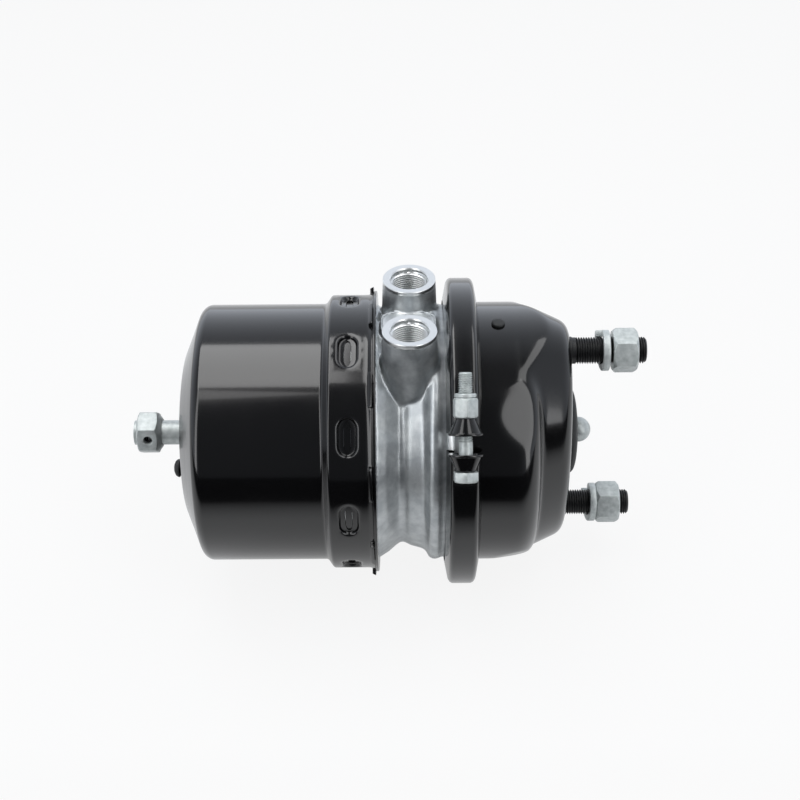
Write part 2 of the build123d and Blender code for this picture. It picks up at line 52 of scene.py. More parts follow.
# --- Camera, floor and lamps -------------------------------------------------------------------------
# A product shot from above and in front: two softboxes overhead, a pale sweep behind and below,
# and an unlit studio on the camera's side, with painted shade on the floor there, which is what gives the
# black enamel its dark band.
def linear(hex_colour):
    """A colour written as sRGB hex, turned to the linear values that shaders take."""
    levels = [int(hex_colour[i:i + 2], 16) / 255 for i in (1, 3, 5)]
    return (*[c / 12.92 if c <= 0.04045 else ((c + 0.055) / 1.055) ** 2.4 for c in levels], 1.0)


def add(tree, kind, settings=None, **links):
    """Adds a node. A setting is a property of the node or the value of one of its inputs, and a link
    feeds an input, its name written with _ for each space, from another node's output."""
    node = tree.nodes.new(kind)
    for name, value in (settings or {}).items():
        if isinstance(name, str) and hasattr(node, name):
            setattr(node, name, value)
        else:
            node.inputs[name].default_value = value
    for name, output in links.items():
        key = int(name[1:]) if name[0] == "_" else name.replace("_", " ")
        tree.links.new(output, node.inputs[key])
    return node


tilt, pan, roll = radians(37.469), radians(0.383), radians(-0.693)
facing = (Matrix.Rotation(pan, 4, "Z") @ Matrix.Rotation(radians(90) - tilt, 4, "X")
          @ Matrix.Rotation(roll, 4, "Z"))
right, up, away = (facing.col[i].xyz for i in range(3))
# it looks 27 mm right of and 19 mm above a point of the chamber's axis, from 932 mm away
aim = Vector((-129.42 * mm, 0, 0)) + right * 27.15 * mm + up * 19.29 * mm
distance = 932.19 * mm
bpy.ops.object.select_all(action="DESELECT")
bpy.ops.object.camera_add()
camera = bpy.context.object
camera.matrix_world = Matrix.Translation(aim + away * distance) @ facing
camera.data.lens = 67.147
camera.data.sensor_width = 36
bpy.context.scene.camera = camera
bpy.context.scene.view_settings.view_transform = "Standard"

lowest = -94.8
bpy.ops.mesh.primitive_plane_add(size=6, location=(-100 * mm, 0, (lowest - 0.1) * mm))
floor = bpy.context.object
floor.name = "studio_floor"
paper = bpy.data.materials.new("matt_white_paper")
paper.use_nodes = True
tree = paper.node_tree
tree.nodes.clear()
path = add(tree, "ShaderNodeLightPath")
place = add(tree, "ShaderNodeTexCoord").outputs["Object"]
axes = add(tree, "ShaderNodeSeparateXYZ", Vector=place)
# the sheet ends 0.2 m in front of the chamber; the floor past it is painted dark, painted shade for the unlit
# studio side that only the enamel's gloss shows
paper_there = add(tree, "ShaderNodeMapRange", {"From Min": -0.30, "From Max": -0.17}, Value=axes.outputs["Y"])
paper_there = paper_there.outputs["Result"]
colour = add(tree, "ShaderNodeMix", {"data_type": "RGBA"}, _0=paper_there)
# a Mix node's two colours are its inputs 6 and 7
# the first colour is the painted shade of the floor in front, the second the pale paper
colour.inputs[6].default_value = linear("#1c1c1d")
colour.inputs[7].default_value = linear("#d4d5d6")
sheet = add(tree, "ShaderNodeBsdfDiffuse", Color=colour.outputs[2])
glow = add(tree, "ShaderNodeEmission", {"Color": (1, 1, 1, 1), "Strength": 1.0})
# white to the camera but for a share of 0.12 that keeps the shadow, and partly so to what is glossy
camera_part = add(tree, "ShaderNodeMapRange", {"To Min": 1.0, "To Max": 0.88}, Value=paper_there)
seen = add(tree, "ShaderNodeMath", {"operation": "MULTIPLY"}, _0=path.outputs["Is Camera Ray"],
           _1=camera_part.outputs["Result"])
gloss_part = add(tree, "ShaderNodeMath", {"operation": "MULTIPLY", 1: 0.45}, _0=paper_there)
gloss_seen = add(tree, "ShaderNodeMath", {"operation": "MULTIPLY"}, _0=path.outputs["Is Glossy Ray"],
                 _1=gloss_part.outputs[0])
share = add(tree, "ShaderNodeMath", {"operation": "ADD"}, _0=seen.outputs[0], _1=gloss_seen.outputs[0])
mixed = add(tree, "ShaderNodeMixShader", _0=share.outputs[0], _1=sheet.outputs[0], _2=glow.outputs[0])
add(tree, "ShaderNodeOutputMaterial", Surface=mixed.outputs[0])
floor.data.materials.append(paper)

world = bpy.data.worlds.new("studio")
bpy.context.scene.world = world
world.use_nodes = True
tree = world.node_tree
tree.nodes.clear()
place = add(tree, "ShaderNodeTexCoord").outputs["Generated"]
axes = add(tree, "ShaderNodeSeparateXYZ", Vector=place)
# dim in front, it brightens towards the back and towards both sides
behind = add(tree, "ShaderNodeMapRange", Value=axes.outputs["Y"])
curved = add(tree, "ShaderNodeMath", {"operation": "POWER", 1: 1.6}, _0=behind.outputs["Result"])
backdrop = add(tree, "ShaderNodeMath", {"operation": "MULTIPLY_ADD", 1: 1.15, 2: 0.10}, _0=curved.outputs[0])
beside = add(tree, "ShaderNodeMath", {"operation": "MULTIPLY"}, _0=axes.outputs["X"], _1=axes.outputs["X"])
sweep = add(tree, "ShaderNodeMath", {"operation": "MULTIPLY_ADD", 1: 0.8}, _0=beside.outputs[0],
            _2=backdrop.outputs[0])
path = add(tree, "ShaderNodeLightPath")
room = add(tree, "ShaderNodeBackground", {"Color": linear("#eff5ff")}, Strength=sweep.outputs[0])
white = add(tree, "ShaderNodeBackground", {"Color": (1, 1, 1, 1), "Strength": 1.0})
mixed = add(tree, "ShaderNodeMixShader", _0=path.outputs["Is Camera Ray"], _1=room.outputs[0],
            _2=white.outputs[0])
add(tree, "ShaderNodeOutputWorld", Surface=mixed.outputs[0])

# a lamp's level is its brightness where a strength of 1 is white
deep = 0.81
for x, wide, level in ((-0.42, 0.50, 3.75), (0.42, 0.60, 2.0)):
    bpy.ops.object.light_add(type="AREA", location=(x, 0.165, 1.0))
    softbox = bpy.context.object
    softbox.data.shape = "RECTANGLE"
    softbox.data.size, softbox.data.size_y = wide, deep
    softbox.data.energy = level * wide * deep * pi

# a tall strip light on each side of the camera draws the long glints on rolled and formed edges
wide, tall, level = 0.5, 2.2, 2.3
for side in (-1, 1):
    bpy.ops.object.light_add(type="AREA", location=(-0.13 + side * 0.85, -0.8, 1.0),
                             rotation=(radians(66), 0, radians(side * 46)))
    strip = bpy.context.object
    strip.data.shape = "RECTANGLE"
    strip.data.size, strip.data.size_y = wide, tall
    strip.data.energy = level * wide * tall * pi

# --- Spring brake drum -------------------------------------------------------------------------------
# Deep-drawn 3 mm steel cup with a domed end. Ten slots pressed through its wide band grip the flange,
# and ten short tabs are bent up from its edge. Stove-baked black enamel.
def start(add_primitive, **settings):
    """Adds a primitive with nothing else selected, and opens it for editing."""
    if bpy.context.mode != "OBJECT":
        bpy.ops.object.mode_set(mode="OBJECT")
    bpy.ops.object.select_all(action="DESELECT")
    add_primitive(**settings)
    bpy.ops.object.transform_apply(location=True, rotation=True, scale=True)
    bpy.ops.object.mode_set(mode="EDIT")
    bpy.ops.mesh.select_mode(type="VERT")
    bpy.ops.mesh.select_all(action="SELECT")
    return bpy.context.object


def select(kind, test):
    """In edit mode, selects the VERT, EDGE or FACE items whose centre, in mm, passes the test."""
    bpy.ops.mesh.select_mode(type=kind)
    mesh = bmesh.from_edit_mesh(bpy.context.object.data)
    items = {"VERT": mesh.verts, "EDGE": mesh.edges, "FACE": mesh.faces}[kind]
    bpy.ops.mesh.select_all(action="DESELECT")
    for item in items:
        ends = [item] if kind == "VERT" else item.verts
        centre = sum((v.co for v in ends), Vector()) / len(ends) / mm
        if test(centre, item):
            item.select_set(True)
    mesh.select_flush_mode()
    bmesh.update_edit_mesh(bpy.context.object.data)


def draw(corners, rounds=()):
    """Draws a line through corners given in mm as (distance along the axis, radius), above the axis,
    and rounds the numbered corners, each over the length given for it."""
    piece = start(bpy.ops.mesh.primitive_plane_add, size=mm)
    bpy.ops.mesh.merge(type="CENTER")
    bpy.ops.transform.translate(value=(corners[0][0] * mm, 0, corners[0][1] * mm))
    for (x0, r0), (x1, r1) in zip(corners, corners[1:]):
        step = ((x1 - x0) * mm, 0, (r1 - r0) * mm)
        bpy.ops.mesh.extrude_region_move(TRANSFORM_OT_translate={"value": step})
    for number, length, segments in rounds:
        x, r = corners[number]
        select("VERT", lambda c, v: hypot(c.x - x, c.z - r) < 0.01)
        bpy.ops.mesh.bevel(affect="VERTICES", offset=length * mm, segments=segments)
    return piece


def spin(steps, turned=360.0):
    """Spins all that is drawn about the chamber axis, from +Z towards -Y, and closes the seam."""
    bpy.ops.mesh.select_all(action="SELECT")
    bpy.ops.mesh.spin(steps=steps, angle=-radians(turned), center=(0, 0, 0), axis=(1, 0, 0))
    tidy()


def tidy():
    """Merges what meets and turns every face outwards."""
    bpy.ops.mesh.select_all(action="SELECT")
    bpy.ops.mesh.remove_doubles(threshold=0.01 * mm)
    bpy.ops.mesh.normals_make_consistent(inside=False)


def join(*pieces):
    """Joins the pieces into the first and opens it for editing."""
    bpy.ops.object.mode_set(mode="OBJECT")
    bpy.ops.object.select_all(action="DESELECT")
    for piece in pieces:
        piece.select_set(True)
    bpy.context.view_layer.objects.active = pieces[0]
    bpy.ops.object.join()
    bpy.ops.object.mode_set(mode="EDIT")


def edit(piece):
    """Takes a piece in hand: opens it for editing with all of it selected."""
    bpy.ops.object.mode_set(mode="OBJECT")
    bpy.ops.object.select_all(action="DESELECT")
    piece.select_set(True)
    bpy.context.view_layer.objects.active = piece
    bpy.ops.object.mode_set(mode="EDIT")
    bpy.ops.mesh.select_all(action="SELECT")


def modify(kind, **settings):
    """Adds a modifier to the piece in hand and applies it."""
    bpy.ops.object.mode_set(mode="OBJECT")
    piece = bpy.context.object
    modifier = piece.modifiers.new(kind, kind)
    for name, value in settings.items():
        setattr(modifier, name, value)
    bpy.ops.object.modifier_apply(modifier=modifier.name)


def done(piece, name, body, finish, nodes, angle=35.0):
    """Closes the edit, names the piece, applies its place, shades and paints it, fixes it to its body and
    hides the CAD nodes that it stands for. A finish of None keeps what is painted."""
    bpy.ops.object.mode_set(mode="OBJECT")
    bpy.ops.object.select_all(action="DESELECT")
    piece.select_set(True)
    bpy.context.view_layer.objects.active = piece
    bpy.ops.object.transform_apply(location=True, rotation=True, scale=True)
    bpy.ops.object.shade_smooth_by_angle(angle=radians(angle))
    piece.name = piece.data.name = name
    if finish:
        piece.data.materials.clear()
        piece.data.materials.append(finish)
    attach(piece, body)
    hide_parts(*nodes)


def new_finish(name):
    """A new material, with its tree, its shader and the place on the piece that patterns start from."""
    material = bpy.data.materials.new(name)
    material.use_nodes = True
    tree = material.node_tree
    place = add(tree, "ShaderNodeTexCoord").outputs["Object"]
    return material, tree, tree.nodes["Principled BSDF"], place


# baked black enamel over phosphated steel: deep gloss with the faint orange peel of a dipped coat
enamel, tree, skin, place = new_finish("baked_black_enamel")
skin.inputs["Base Color"].default_value = linear("#0b0b0c")
skin.inputs["IOR"].default_value = 1.5
skin.inputs["Coat Weight"].default_value = 0.35
skin.inputs["Coat Roughness"].default_value = 0.06
# orange peel about 2.5 mm across, hundredths of a millimetre deep
peel = add(tree, "ShaderNodeTexNoise", {"Scale": 1 / (2.5 * mm), "Detail": 2.0}, Vector=place)
bump = add(tree, "ShaderNodeBump", {"Strength": 0.035, "Distance": 0.2 * mm}, Height=peel.outputs["Fac"])
cloud = add(tree, "ShaderNodeTexNoise", {"Scale": 1 / (30 * mm), "Detail": 3.0}, Vector=place)
gloss = add(tree, "ShaderNodeMapRange", {"To Min": 0.11, "To Max": 0.19}, Value=cloud.outputs["Fac"])
tree.links.new(bump.outputs[0], skin.inputs["Normal"])
tree.links.new(gloss.outputs[0], skin.inputs["Roughness"])

# One slot's length of band, laid out flat with its outer face to -Y: 32 cells long, 12 wide, with a
# window for the slot. The slot's rim, wall and floor are drawn in from an obround, ring by ring.
slots = 10
band_x, band_r = -132, 84.75
pitch = 2 * pi * band_r / slots
cell = pitch / 32
half_band = 6 * cell
drum = start(bpy.ops.mesh.primitive_grid_add, x_subdivisions=12, y_subdivisions=32, size=1,
             rotation=(radians(90), 0, 0))
bpy.ops.transform.resize(value=(2 * half_band * mm, 1, pitch * mm))
select("FACE", lambda c, f: abs(c.x) < 5 * cell and abs(c.z) < 9 * cell)
bpy.ops.mesh.delete(type="FACE")
# the obround is drawn 9 mm clear of the band, and its rings are (half width, half length, depth)
clear = 9
half_wide, half_long, before = 7.9, 13.5, 0.0
bpy.ops.mesh.primitive_circle_add(vertices=36, radius=half_wide * mm, location=(0, clear * mm, 0),
                                  rotation=(radians(90), radians(5), 0))
select("EDGE", lambda c, e: c.y > 5 and abs(c.z) < 0.1)
bpy.ops.mesh.subdivide(number_cuts=6)
for side in (1, -1):
    select("VERT", lambda c, v: c.y > 5 and side * c.z > 0.68)
    bpy.ops.transform.translate(value=(0, 0, side * (half_long - half_wide) * mm))
select("EDGE", lambda c, e: c.y > 5)
rings = ((7.1, 12.7, 0.06), (6.4, 12.0, 0.22), (5.9, 11.5, 0.5), (5.55, 11.15, 1.0),
         (5.25, 10.9, 1.7), (4.85, 10.7, 2.25), (3.7, 10.3, 2.55), (2.15, 9.5, 2.6))
for wide, long, depth in rings:
    bpy.ops.mesh.extrude_edges_move(TRANSFORM_OT_translate={"value": (0, (depth - before) * mm, 0)})
    bpy.ops.transform.resize(value=(wide / half_wide, 1, long / half_long), center_override=(0, 0, 0))
    half_wide, half_long, before = wide, long, depth
select("VERT", lambda c, v: c.y > 5)
bpy.ops.transform.translate(value=(0, -clear * mm, 0))
select("EDGE", lambda c, e: (e.is_boundary and abs(c.x) < 5.2 * cell and abs(c.z) < 9.2 * cell
                             and c.y < 0.01))
bpy.ops.mesh.bridge_edge_loops()
# ten of them in a row, bent round to a ring
bpy.ops.mesh.select_all(action="SELECT")
bpy.ops.transform.translate(value=(band_x * mm, 0, -slots / 2 * pitch * mm))
modify("ARRAY", count=slots, use_relative_offset=False, use_constant_offset=True,
       constant_offset_displace=(0, 0, pitch * mm), use_merge_vertices=True, merge_threshold=0.01 * mm)
modify("SIMPLE_DEFORM", deform_method="BEND", deform_axis="X", angle=2 * pi)
bpy.ops.object.mode_set(mode="EDIT")
bpy.ops.mesh.select_all(action="SELECT")
bpy.ops.transform.translate(value=(0, -band_r * mm, 0))
tidy()

# the cup: crown, its ring, the long wall and the step up to the band
wall_r = 79.35
cup = draw(((-236.15, 8), (-234.9, 30), (-232.6, 51.5), (-227.3, 64.2), (-221.4, wall_r), (-146.9, wall_r),
            (-143.2, band_r), (band_x - half_band, band_r)),
           rounds=((1, 4, 3), (2, 1.9, 4), (3, 0.5, 2), (4, 4.2, 12), (5, 1.4, 5), (6, 1.1, 5)))
spin(320)
# the lip past the band, flared where the flange's rim is pushed in
lip = draw(((band_x + half_band, band_r), (-120.9, 84.8), (-119.9, 85.05), (-118.8, 85.6), (-117.75, 86.1)))
spin(320)
join(drum, cup, lip)
tidy()
modify("SOLIDIFY", thickness=3.0 * mm, offset=-1, use_even_offset=True, use_quality_normals=True)
bpy.ops.object.mode_set(mode="EDIT")


def bearing(c):
    """The angle round the chamber axis, in degrees from +Z towards -Y."""
    return degrees(atan2(-c.y, c.z))


# ten tabs, turned up square from the lip, 14 degrees wide
apart = 360 / slots
select("FACE", lambda c, f: (c.x > -120 and hypot(c.y, c.z) > 85
                             and abs((bearing(c) + apart / 2) % apart - apart / 2) < 7))
bpy.ops.mesh.extrude_region_move()
bpy.ops.transform.resize(value=(1, 1.0425, 1.0425), center_override=(0, 0, 0))
select("EDGE", lambda c, e: c.x > -121 and hypot(c.y, c.z) > 83 and e.calc_face_angle() > 1)
bpy.ops.mesh.bevel(offset=0.2 * mm, segments=2)
done(drum, "drum_pressing", "housing", enamel, ["spring_drum"])

# --- Flange ------------------------------------------------------------------------------------------
# Pressure die-cast aluminium, bead blasted: a spigot inside the drum, a waisted neck with two port
# bosses and a pad between them, and a rim in the clamp. Its bore, bowl, rims and ports are machined.
cast, tree, skin, place = new_finish("blasted_die_cast_aluminium")
skin.inputs["Metallic"].default_value = 0.8
# mottling over a centimetre or so, where the blasting and the casting's skin differ
mottle = add(tree, "ShaderNodeTexNoise", {"Scale": 1 / (9 * mm), "Detail": 5.0, "Roughness": 0.6},
             Vector=place)
tone = add(tree, "ShaderNodeValToRGB", Fac=mottle.outputs["Fac"])
tone.color_ramp.elements[0].position, tone.color_ramp.elements[0].color = 0.35, linear("#aeb3b6")
tone.color_ramp.elements[1].position, tone.color_ramp.elements[1].color = 0.68, linear("#d3d7d8")
rough = add(tree, "ShaderNodeMapRange", {"To Min": 0.30, "To Max": 0.46}, Value=mottle.outputs["Fac"])
# blasting craters 0.5 mm across over the soft waves of the casting, 6 mm long
craters = add(tree, "ShaderNodeTexNoise", {"Scale": 1 / (0.5 * mm), "Detail": 2.0}, Vector=place)
waves = add(tree, "ShaderNodeTexNoise", {"Scale": 1 / (6 * mm), "Detail": 2.0}, Vector=place)
fine = add(tree, "ShaderNodeBump", {"Strength": 0.25, "Distance": 0.05 * mm}, Height=craters.outputs["Fac"])
broad = add(tree, "ShaderNodeBump", {"Strength": 0.3, "Distance": 0.3 * mm}, Height=waves.outputs["Fac"],
            Normal=fine.outputs[0])
tree.links.new(tone.outputs["Color"], skin.inputs["Base Color"])
tree.links.new(rough.outputs["Result"], skin.inputs["Roughness"])
tree.links.new(broad.outputs[0], skin.inputs["Normal"])

# bright face-milled and turned aluminium with a fine lay of tool marks
bright, tree, skin, place = new_finish("machined_aluminium")
skin.inputs["Metallic"].default_value = 1.0
skin.inputs["Base Color"].default_value = linear("#e6e8e8")
lay = add(tree, "ShaderNodeTexNoise", {"Scale": 1 / (0.4 * mm), "Detail": 2.0}, Vector=place)
shine = add(tree, "ShaderNodeMapRange", {"To Min": 0.24, "To Max": 0.36}, Value=lay.outputs["Fac"])
marks = add(tree, "ShaderNodeBump", {"Strength": 0.08, "Distance": 0.02 * mm}, Height=lay.outputs["Fac"])
tree.links.new(shine.outputs["Result"], skin.inputs["Roughness"])
tree.links.new(marks.outputs[0], skin.inputs["Normal"])

# the turned casting, its neck a little under size
flange = draw(((-118.2, 18.3), (-116, 18.3), (-116, 20.3), (-108, 20.3), (-108, 18.3), (-105, 18.3),
               (-105, 22.5), (-97, 22.5), (-97, 18.3), (-93.6, 18.3), (-93.6, 51), (-70, 75.5),
               (-66.8, 78.5), (-66.85, 87.6), (-70.75, 87.6), (-72.05, 81.2), (-72.3, 78.2), (-77.5, 76.5),
               (-82.8, 77), (-86.5, 72.5), (-96.5, 68), (-102.3, 66.5), (-109.8, 72.5), (-115.7, 76.5),
               (-115.7, 87.2), (-117.5, 87.2), (-117.5, 81.6), (-125.6, 81.6), (-125.6, 78.9),
               (-130.1, 78.9), (-130.1, 81.4), (-133.9, 81.4), (-133.9, 78.9), (-138.4, 78.9),
               (-138.4, 81.6), (-139.7, 81.6), (-139.7, 79.3), (-142.4, 79.3), (-142.4, 76.6),
               (-118.2, 76.6), (-118.2, 18.3)),
              rounds=((24, 0.4, 2), (25, 0.4, 2)))
spin(180)

# the cast skin of the neck, with its bosses and pad, fused and softened as a sand-finished die leaves it
port_x, port_y = -95.9, 27.2
pad_x, pad_z, pad_long, pad_wide, pad_deep, pad_corner = -96.5, 81, 33, 24.6, 21, 8
skin_of_neck = draw(((-116.4, 79), (-115.2, 78.4), (-109.8, 75), (-104.8, 70.7), (-102.3, 68.9),
                     (-99.8, 69.2), (-96.5, 71.1), (-88.2, 73.4), (-86.5, 75.2), (-85.1, 78.3),
                     (-82.8, 79.8), (-80.2, 79.8), (-77.5, 78.4), (-73.5, 78.4), (-73.5, 75.5),
                     (-80, 71), (-90, 62), (-116.4, 62), (-116.4, 79)))
spin(180)
for side in (1, -1):
    bpy.ops.mesh.primitive_cone_add(vertices=96, radius1=17.6 * mm, radius2=15.85 * mm, depth=44 * mm,
                                    location=(port_x * mm, side * port_y * mm, 72.3 * mm))
pad_middle = pad_z - pad_deep / 2
bpy.ops.mesh.primitive_cube_add(size=mm, location=(pad_x * mm, 0, pad_middle * mm),
                                scale=(pad_long, pad_wide, pad_deep))
select("EDGE", lambda c, e: (abs(c.y) > 12 and abs(abs(c.x - pad_x) - pad_long / 2) < 0.1
                             and abs(c.z - pad_middle) < 1))
bpy.ops.mesh.bevel(offset=pad_corner * mm, segments=8)
modify("REMESH", mode="VOXEL", voxel_size=1.0 * mm)
modify("SMOOTH", factor=0.5, iterations=7)


def thread(first, last, pitch, root, crest):
    """A screw thread about the chamber axis between two places on it, as an open skin. One pitch of it
    is drawn and swept round the axis, then cut square at both ends."""
    flank = [(0, root), (0.13, root), (0.44, crest), (0.56, crest), (0.87, root), (1, root)]
    piece = draw([(first - 1.2 * pitch + along * pitch, r) for along, r in flank])
    turns, steps = int((last - first) / pitch + 3.5), 48
    modify("SCREW", axis="X", angle=2 * pi, screw_offset=pitch * mm, iterations=turns, steps=steps,
           render_steps=steps, use_merge_vertices=True)
    bpy.ops.object.mode_set(mode="EDIT")
    tidy()
    for place, side in ((first, -1), (last, 1)):
        bpy.ops.mesh.select_all(action="SELECT")
        bpy.ops.mesh.bisect(plane_co=(place * mm, 0, 0), plane_no=(side, 0, 0), clear_outer=True,
                            threshold=0.001 * mm)
    return piece


def turn(axis, angle):
    """Turns all of the piece in hand about an axis of the frame; about X it goes from +Z towards -Y."""
    bpy.ops.mesh.select_all(action="SELECT")
    bpy.ops.transform.rotate(value=-radians(angle), orient_axis=axis, center_override=(0, 0, 0))


def shift(x=0.0, y=0.0, z=0.0):
    """Moves all of the piece in hand, in mm."""
    bpy.ops.mesh.select_all(action="SELECT")
    bpy.ops.transform.translate(value=(x * mm, y * mm, z * mm))


def paint(finish):
    """Gives the selected faces of the piece in hand a finish."""
    piece = bpy.context.object
    if finish.name not in piece.data.materials:
        piece.data.materials.append(finish)
    piece.active_material_index = piece.data.materials.find(finish.name)
    bpy.ops.object.material_slot_assign()


def cut(piece, tool, operation="DIFFERENCE"):
    """Cuts the piece with the tool, or joins or keeps what they share, and throws the tool away."""
    bpy.ops.object.mode_set(mode="OBJECT")
    bpy.context.view_layer.objects.active = piece
    modify("BOOLEAN", object=tool, operation=operation, solver="EXACT")
    bpy.data.objects.remove(tool)


# both ports: drilled and bored, then lined with the milled face, the fitting's seat and the thread
port_parts = []
for side in (1, -1):
    bore = draw(((64, 0), (64, 4.5), (75.5, 4.5), (75.5, 12.4), (110, 12.4), (110, 0)))
    spin(48)
    turn("Y", -90)
    shift(x=port_x, y=side * port_y)
    cut(skin_of_neck, bore)
    face = draw(((90, 15.3), (92.6, 15.86), (94.7, 15.86), (95, 15.56), (95, 11.9), (94.35, 11.25),
                 (92, 11.25), (92, 10.95), (90, 10.95), (90, 15.3)))
    spin(96)
    wall = thread(76, 92.05, 1.5, 11.0, 10.2)
    modify("SOLIDIFY", thickness=1.2 * mm, offset=1)
    base = draw(((75.2, 12.5), (76.1, 12.5), (76.1, 4.5), (75.2, 4.5), (75.2, 12.5)))
    spin(48)
    join(face, wall, base)
    turn("Y", -90)
    shift(x=port_x, y=side * port_y)
    bpy.ops.mesh.select_all(action="SELECT")
    paint(bright)
    port_parts.append(face)

# the bead round the pad: a narrow ring raised from its edge
bead_foot, bead_tall, bead_wide = 80.4, 1.25, 1.5
bead = start(bpy.ops.mesh.primitive_plane_add, size=mm, location=(pad_x * mm, 0, bead_foot * mm))
bpy.ops.transform.resize(value=(pad_long, pad_wide, 1))
bpy.ops.mesh.bevel(affect="VERTICES", offset=pad_corner * mm, segments=10)
bpy.ops.mesh.inset(thickness=bead_wide * mm, depth=0)
bpy.ops.mesh.delete(type="FACE")
bpy.ops.mesh.select_all(action="SELECT")
bpy.ops.mesh.extrude_region_move(TRANSFORM_OT_translate={"value": (0, 0, bead_tall * mm)})
bpy.ops.mesh.select_all(action="SELECT")
bpy.ops.mesh.normals_make_consistent(inside=False)
select("EDGE", lambda c, e: abs(c.z - bead_foot - bead_tall) < 0.01 and e.calc_face_angle(0) > 1)
bpy.ops.mesh.bevel(offset=0.6 * mm, segments=4)
bpy.ops.mesh.select_all(action="SELECT")
paint(cast)

edit(skin_of_neck)
paint(cast)
# the pad is milled inside its bead
select("FACE", lambda c, f: (c.z > pad_z - 0.3 and abs(c.x - pad_x) < pad_long / 2 - 1.6
                             and abs(c.y) < pad_wide / 2 - 1.6 and f.normal.z > 0.9))
paint(bright)
edit(flange)
paint(bright)
# the drum is enamelled when it is on, and the paint reaches the land in its slots and the rim by its lip
for low, high, least_r in ((-134.5, -129.5, 80), (-117.8, -115.4, 81.2)):
    select("FACE", lambda c, f: low < c.x < high and hypot(c.y, c.z) > least_r)
    paint(enamel)
join(flange, skin_of_neck, bead, *port_parts)
done(flange, "flange_casting", "housing", None, ["flange_body"], angle=40)

# --- Clamp ring --------------------------------------------------------------------------------------
# Two halves rolled from 3 mm steel to a V section, each with a hooded lug welded on at both ends.
# The hoods are wide and open at the closure and narrow where the nut or the bolt head sits. Enamelled.
half = draw(((-75.5, 81.2), (-73.3, 92.9), (-71.5, 94.8), (-58.9, 94.8), (-57.1, 92.9), (-54.9, 81.2),
             (-58.25, 81.2), (-60.5, 91.8), (-69.9, 91.8), (-72.15, 81.2), (-75.5, 81.2)),
            rounds=((1, 1.2, 3), (2, 1.2, 4), (3, 1.2, 4), (4, 1.2, 3), (5, 0.8, 2), (9, 0.8, 2)))
arc = 173.2
spin(150, arc)
# its two cut ends are closed
for loop in (-1, 1):
    select("EDGE", lambda c, e: e.is_boundary and loop * c.y > 0)
    bpy.ops.mesh.edge_face_add()
turn("X", -arc / 2)
tidy()
bolt_x, bolt_r, bolt_bearing = -65.2, 102.2, 56
for side in (1, -1):
    hood = start(bpy.ops.mesh.primitive_cone_add, vertices=64, radius1=9.2 * mm, radius2=5.4 * mm,
                 depth=8.5 * mm, rotation=(radians(90), 0, 0), location=(bolt_x * mm, -9.5 * mm, bolt_r * mm))
    select("VERT", lambda c, v: c.y > -6)
    bpy.ops.transform.resize(value=(1, 1, 0.76), center_override=(bolt_x * mm, 0, bolt_r * mm))
    select("VERT", lambda c, v: c.z < bolt_r - 0.1)
    bpy.ops.transform.translate(value=(0, 0, -4.4 * mm))
    # the lip round its mouth, and the hollow behind it
    select("FACE", lambda c, f: f.normal.y > 0.9)
    bpy.ops.mesh.extrude_region_move()
    bpy.ops.transform.resize(value=(1.07, 1, 1.05), center_override=(bolt_x * mm, 0, 101 * mm))
    bpy.ops.mesh.extrude_region_move(TRANSFORM_OT_translate={"value": (0, 1.3 * mm, 0)})
    bpy.ops.mesh.inset(thickness=2.9 * mm, depth=0)
    bpy.ops.mesh.extrude_region_move(TRANSFORM_OT_translate={"value": (0, -7.5 * mm, 0)})
    bpy.ops.transform.resize(value=(0.66, 1, 0.72), center_override=(bolt_x * mm, 0, 101.6 * mm))
    bpy.ops.mesh.select_all(action="SELECT")
    bpy.ops.mesh.normals_make_consistent(inside=False)
    select("EDGE", lambda c, e: e.calc_face_angle(0) > radians(32) and hypot(c.x - bolt_x, c.z - 101) > 4)
    bpy.ops.mesh.bevel(offset=0.4 * mm, segments=3)
    shift(y=-1.3)
    hole = start(bpy.ops.mesh.primitive_cylinder_add, vertices=32, radius=4.4 * mm, depth=40 * mm,
                 rotation=(radians(90), 0, 0), location=(bolt_x * mm, 0, bolt_r * mm))
    cut(hood, hole)
    bpy.ops.object.mode_set(mode="EDIT")
    if side < 0:
        bpy.ops.mesh.select_all(action="SELECT")
        bpy.ops.transform.resize(value=(1, -1, 1), center_override=(0, 0, 0))
        bpy.ops.mesh.normals_make_consistent(inside=False)
    turn("X", -90 * side)
    cut(half, hood, "UNION")
bpy.ops.object.select_all(action="DESELECT")
half.select_set(True)
bpy.ops.object.duplicate()
other = bpy.context.object
for piece, quarter, name, node in ((half, 90, "clamp_half_low", "clamp_half_lower"),
                                   (other, 270, "clamp_half_high", "clamp_half_upper")):
    edit(piece)
    turn("X", bolt_bearing + quarter)
    done(piece, name, "housing", enamel, [node])

# --- Clamp bolts and nuts ----------------------------------------------------------------------------
# M8 bolts with cut hexagon heads and long threads, and lock nuts whose collars are crimped in.
# Bright zinc plate.
zinc, tree, skin, place = new_finish("bright_zinc_plate")
skin.inputs["Metallic"].default_value = 0.42
# patches of thicker plate 3 mm across, and a scratchy lay a quarter of a millimetre wide
patch = add(tree, "ShaderNodeTexNoise", {"Scale": 1 / (3 * mm), "Detail": 4.0}, Vector=place)
tone = add(tree, "ShaderNodeValToRGB", Fac=patch.outputs["Fac"])
tone.color_ramp.elements[0].position, tone.color_ramp.elements[0].color = 0.3, linear("#aeb5b4")
tone.color_ramp.elements[1].position, tone.color_ramp.elements[1].color = 0.7, linear("#cdd2d1")
rough = add(tree, "ShaderNodeMapRange", {"To Min": 0.34, "To Max": 0.48}, Value=patch.outputs["Fac"])
lay = add(tree, "ShaderNodeTexNoise", {"Scale": 1 / (0.25 * mm), "Detail": 2.0}, Vector=place)
bump = add(tree, "ShaderNodeBump", {"Strength": 0.1, "Distance": 0.02 * mm}, Height=lay.outputs["Fac"])
tree.links.new(tone.outputs["Color"], skin.inputs["Base Color"])
